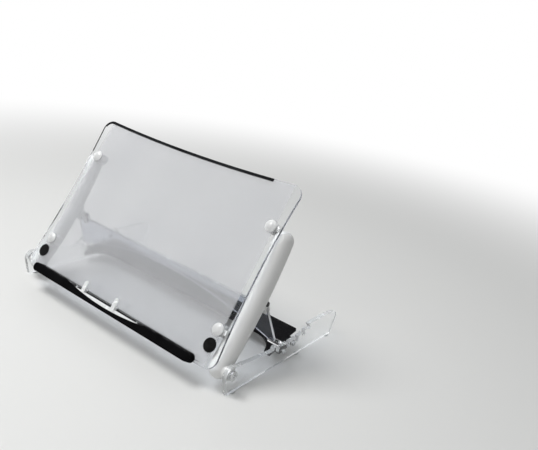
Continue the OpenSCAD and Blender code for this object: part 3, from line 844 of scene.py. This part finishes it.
# %% A helper that dulls the cut edges
CUT_EDGE_LIMIT = 0.3
DULL_FACE = 1


def dull_edges(piece, through):
    for face in piece.data.polygons:
        if abs(face.normal.dot(through)) < CUT_EDGE_LIMIT:
            face.material_index = DULL_FACE


# %% Make the flap and the feet
flap = whole_copy("support_flap", "clear_flap")
draw_in(flap, CLEARANCE)
soften(flap, width=0.45 * MM)
hand_over(flap, "support_flap", "clear_acrylic", smoke_and_shade, cut_edge)
largest = max(flap.data.polygons, key=lambda face: face.area)
dull_edges(flap, largest.normal)
feet = whole_copy("flap_feet", "clear_feet")
soften(feet, width=0.4 * MM, angle=34.0)
hand_over(feet, "flap_feet", "clear_trim", clear)

# %% [markdown]
# ## The base fins
# The fins are cut from thick clear sheet, so almost all that shows of them is their edges. Between the dull
# flat of the cut and the clear faces, a wider bevel gives the thin bright and dark lines of the photograph.

# %% Make the fins
for side in ("left", "right"):
    fin = whole_copy("fin_" + side, "clear_fin_" + side)
    draw_in(fin, CLEARANCE)
    soften(fin, width=0.6 * MM, angle=24.0)
    hand_over(fin, "fin_" + side, "clear_acrylic", clear, cut_edge)
    dull_edges(fin, Vector((1, 0, 0)))

# %% [markdown]
# ## The cross plate
# A polished black plate ties the fins together. Its top stays bare, so the gloss, the dust and the fine
# bevel round its edge are all that it shows.

# %% Make the cross plate
plate = whole_copy("cross_plate", "black_cross_plate")
soften(plate, width=0.5 * MM)
hand_over(plate, "cross_plate", "plate_black", gloss)

# %% [markdown]
# ## The hinge
# White brackets on the rails, white knuckles on the flap and blackened pins through both make the hinge,
# with a clip on the inner end of each pin. They are small mouldings and turned parts, so they all get fine
# bevels and smooth round sides, and one loop makes them.

# %% Make the hinge
HINGE_PIECES = [
    ("hinge_brackets", "white_brackets", "pearl_plastic", pearl),
    ("flap_knuckles", "white_knuckles", "pearl_plastic", pearl),
    ("hinge_pins", "black_hinge_pins", "dark_pin", dark_pin),
    ("pin_clips", "black_pin_clips", "dark_pin", dark_pin),
]
for node, name, slot, finish in HINGE_PIECES:
    piece = whole_copy(node, name)
    soften(piece, width=0.3 * MM, angle=36.0)
    hand_over(piece, node, slot, finish)

# %% [markdown]
# ## Heads with sockets
# The tilt pins and the plate screws show their heads on the outside of the fins. A real head has a
# six-sided socket for the key. The first helper finds the heads: the outermost points on each side, parted
# where a wide gap along Y lies between them. The second adds a six-sided prism at each and cuts it out with
# a Boolean. A face could be inset and pushed in instead, but it would keep the round outline of the head.

# %% A helper that finds the heads
SAME_LEVEL = 0.01 * MM
HEAD_GAP = 5 * MM


def head_centres(piece):
    centres = []
    for side in (-1, 1):
        reach = max(side * v.co.x for v in piece.data.vertices)
        points = [v.co for v in piece.data.vertices if side * v.co.x > reach - SAME_LEVEL]
        points.sort(key=lambda point: point.y)
        heads = [points[:1]]
        for point in points[1:]:
            if point.y - heads[-1][-1].y > HEAD_GAP:
                heads.append([])
            heads[-1].append(point)
        for head in heads:
            lows = [min(point[axis] for point in head) for axis in range(3)]
            highs = [max(point[axis] for point in head) for axis in range(3)]
            centres.append(Vector([(low + high) / 2 for low, high in zip(lows, highs)]))
    return centres


# %% Cut the sockets
SOCKET_DEPTH = 1.6 * MM
ACROSS_X = (0, math.radians(90), 0)


def cut_sockets(piece, radius):
    centres = head_centres(piece)
    for centre in centres:
        bpy.ops.object.select_all(action="DESELECT")
        bpy.ops.mesh.primitive_cylinder_add(
            vertices=6, radius=radius, depth=2 * SOCKET_DEPTH, location=centre, rotation=ACROSS_X)
        key = bpy.context.active_object
        alone(piece)
        cut = piece.modifiers.new("socket", "BOOLEAN")
        cut.object = key
        cut.operation = "DIFFERENCE"
        cut.solver = "EXACT"
        bpy.ops.object.modifier_apply(modifier="socket")
        bpy.data.objects.remove(key)
    print(len(centres), "sockets in", piece.name)


SOCKET_PIECES = [
    ("tilt_pins", "steel_tilt_pins", 3.2 * MM),
    ("plate_screws", "steel_plate_screws", 1.8 * MM),
]
for node, name, key_radius in SOCKET_PIECES:
    piece = whole_copy(node, name)
    cut_sockets(piece, key_radius)
    soften(piece, width=0.3 * MM, angle=40.0)
    hand_over(piece, node, "steel", steel)

# %% [markdown]
# ## Small fixings and pads
# The rest are screws and pins seen only through the plastic, if at all, the brass bushes, the washers and
# the pads under the fins. Each gets the same treatment, with a bevel to suit its size.

# %% Make the small fixings
SMALL_PIECES = [
    ("clamp_screws", "steel_clamp_screws", "steel", steel, 0.3 * MM),
    ("ledge_screws", "steel_ledge_screws", "steel", steel, 0.3 * MM),
    ("bracket_screws", "steel_bracket_screws", "steel", steel, 0.25 * MM),
    ("page_bar_pins", "steel_bar_pins", "steel", steel, 0.15 * MM),
    ("tilt_bushes", "brass_bushes", "bush_brass", brass, 0.2 * MM),
    ("tilt_washers", "milky_washers", "cap_plastic", milky, 0.2 * MM),
    ("foot_pads", "rubber_pads", "pad_rubber", rubber, 0.2 * MM),
]
for node, name, slot, finish, width in SMALL_PIECES:
    piece = whole_copy(node, name)
    soften(piece, width, angle=40.0)
    hand_over(piece, node, slot, finish)
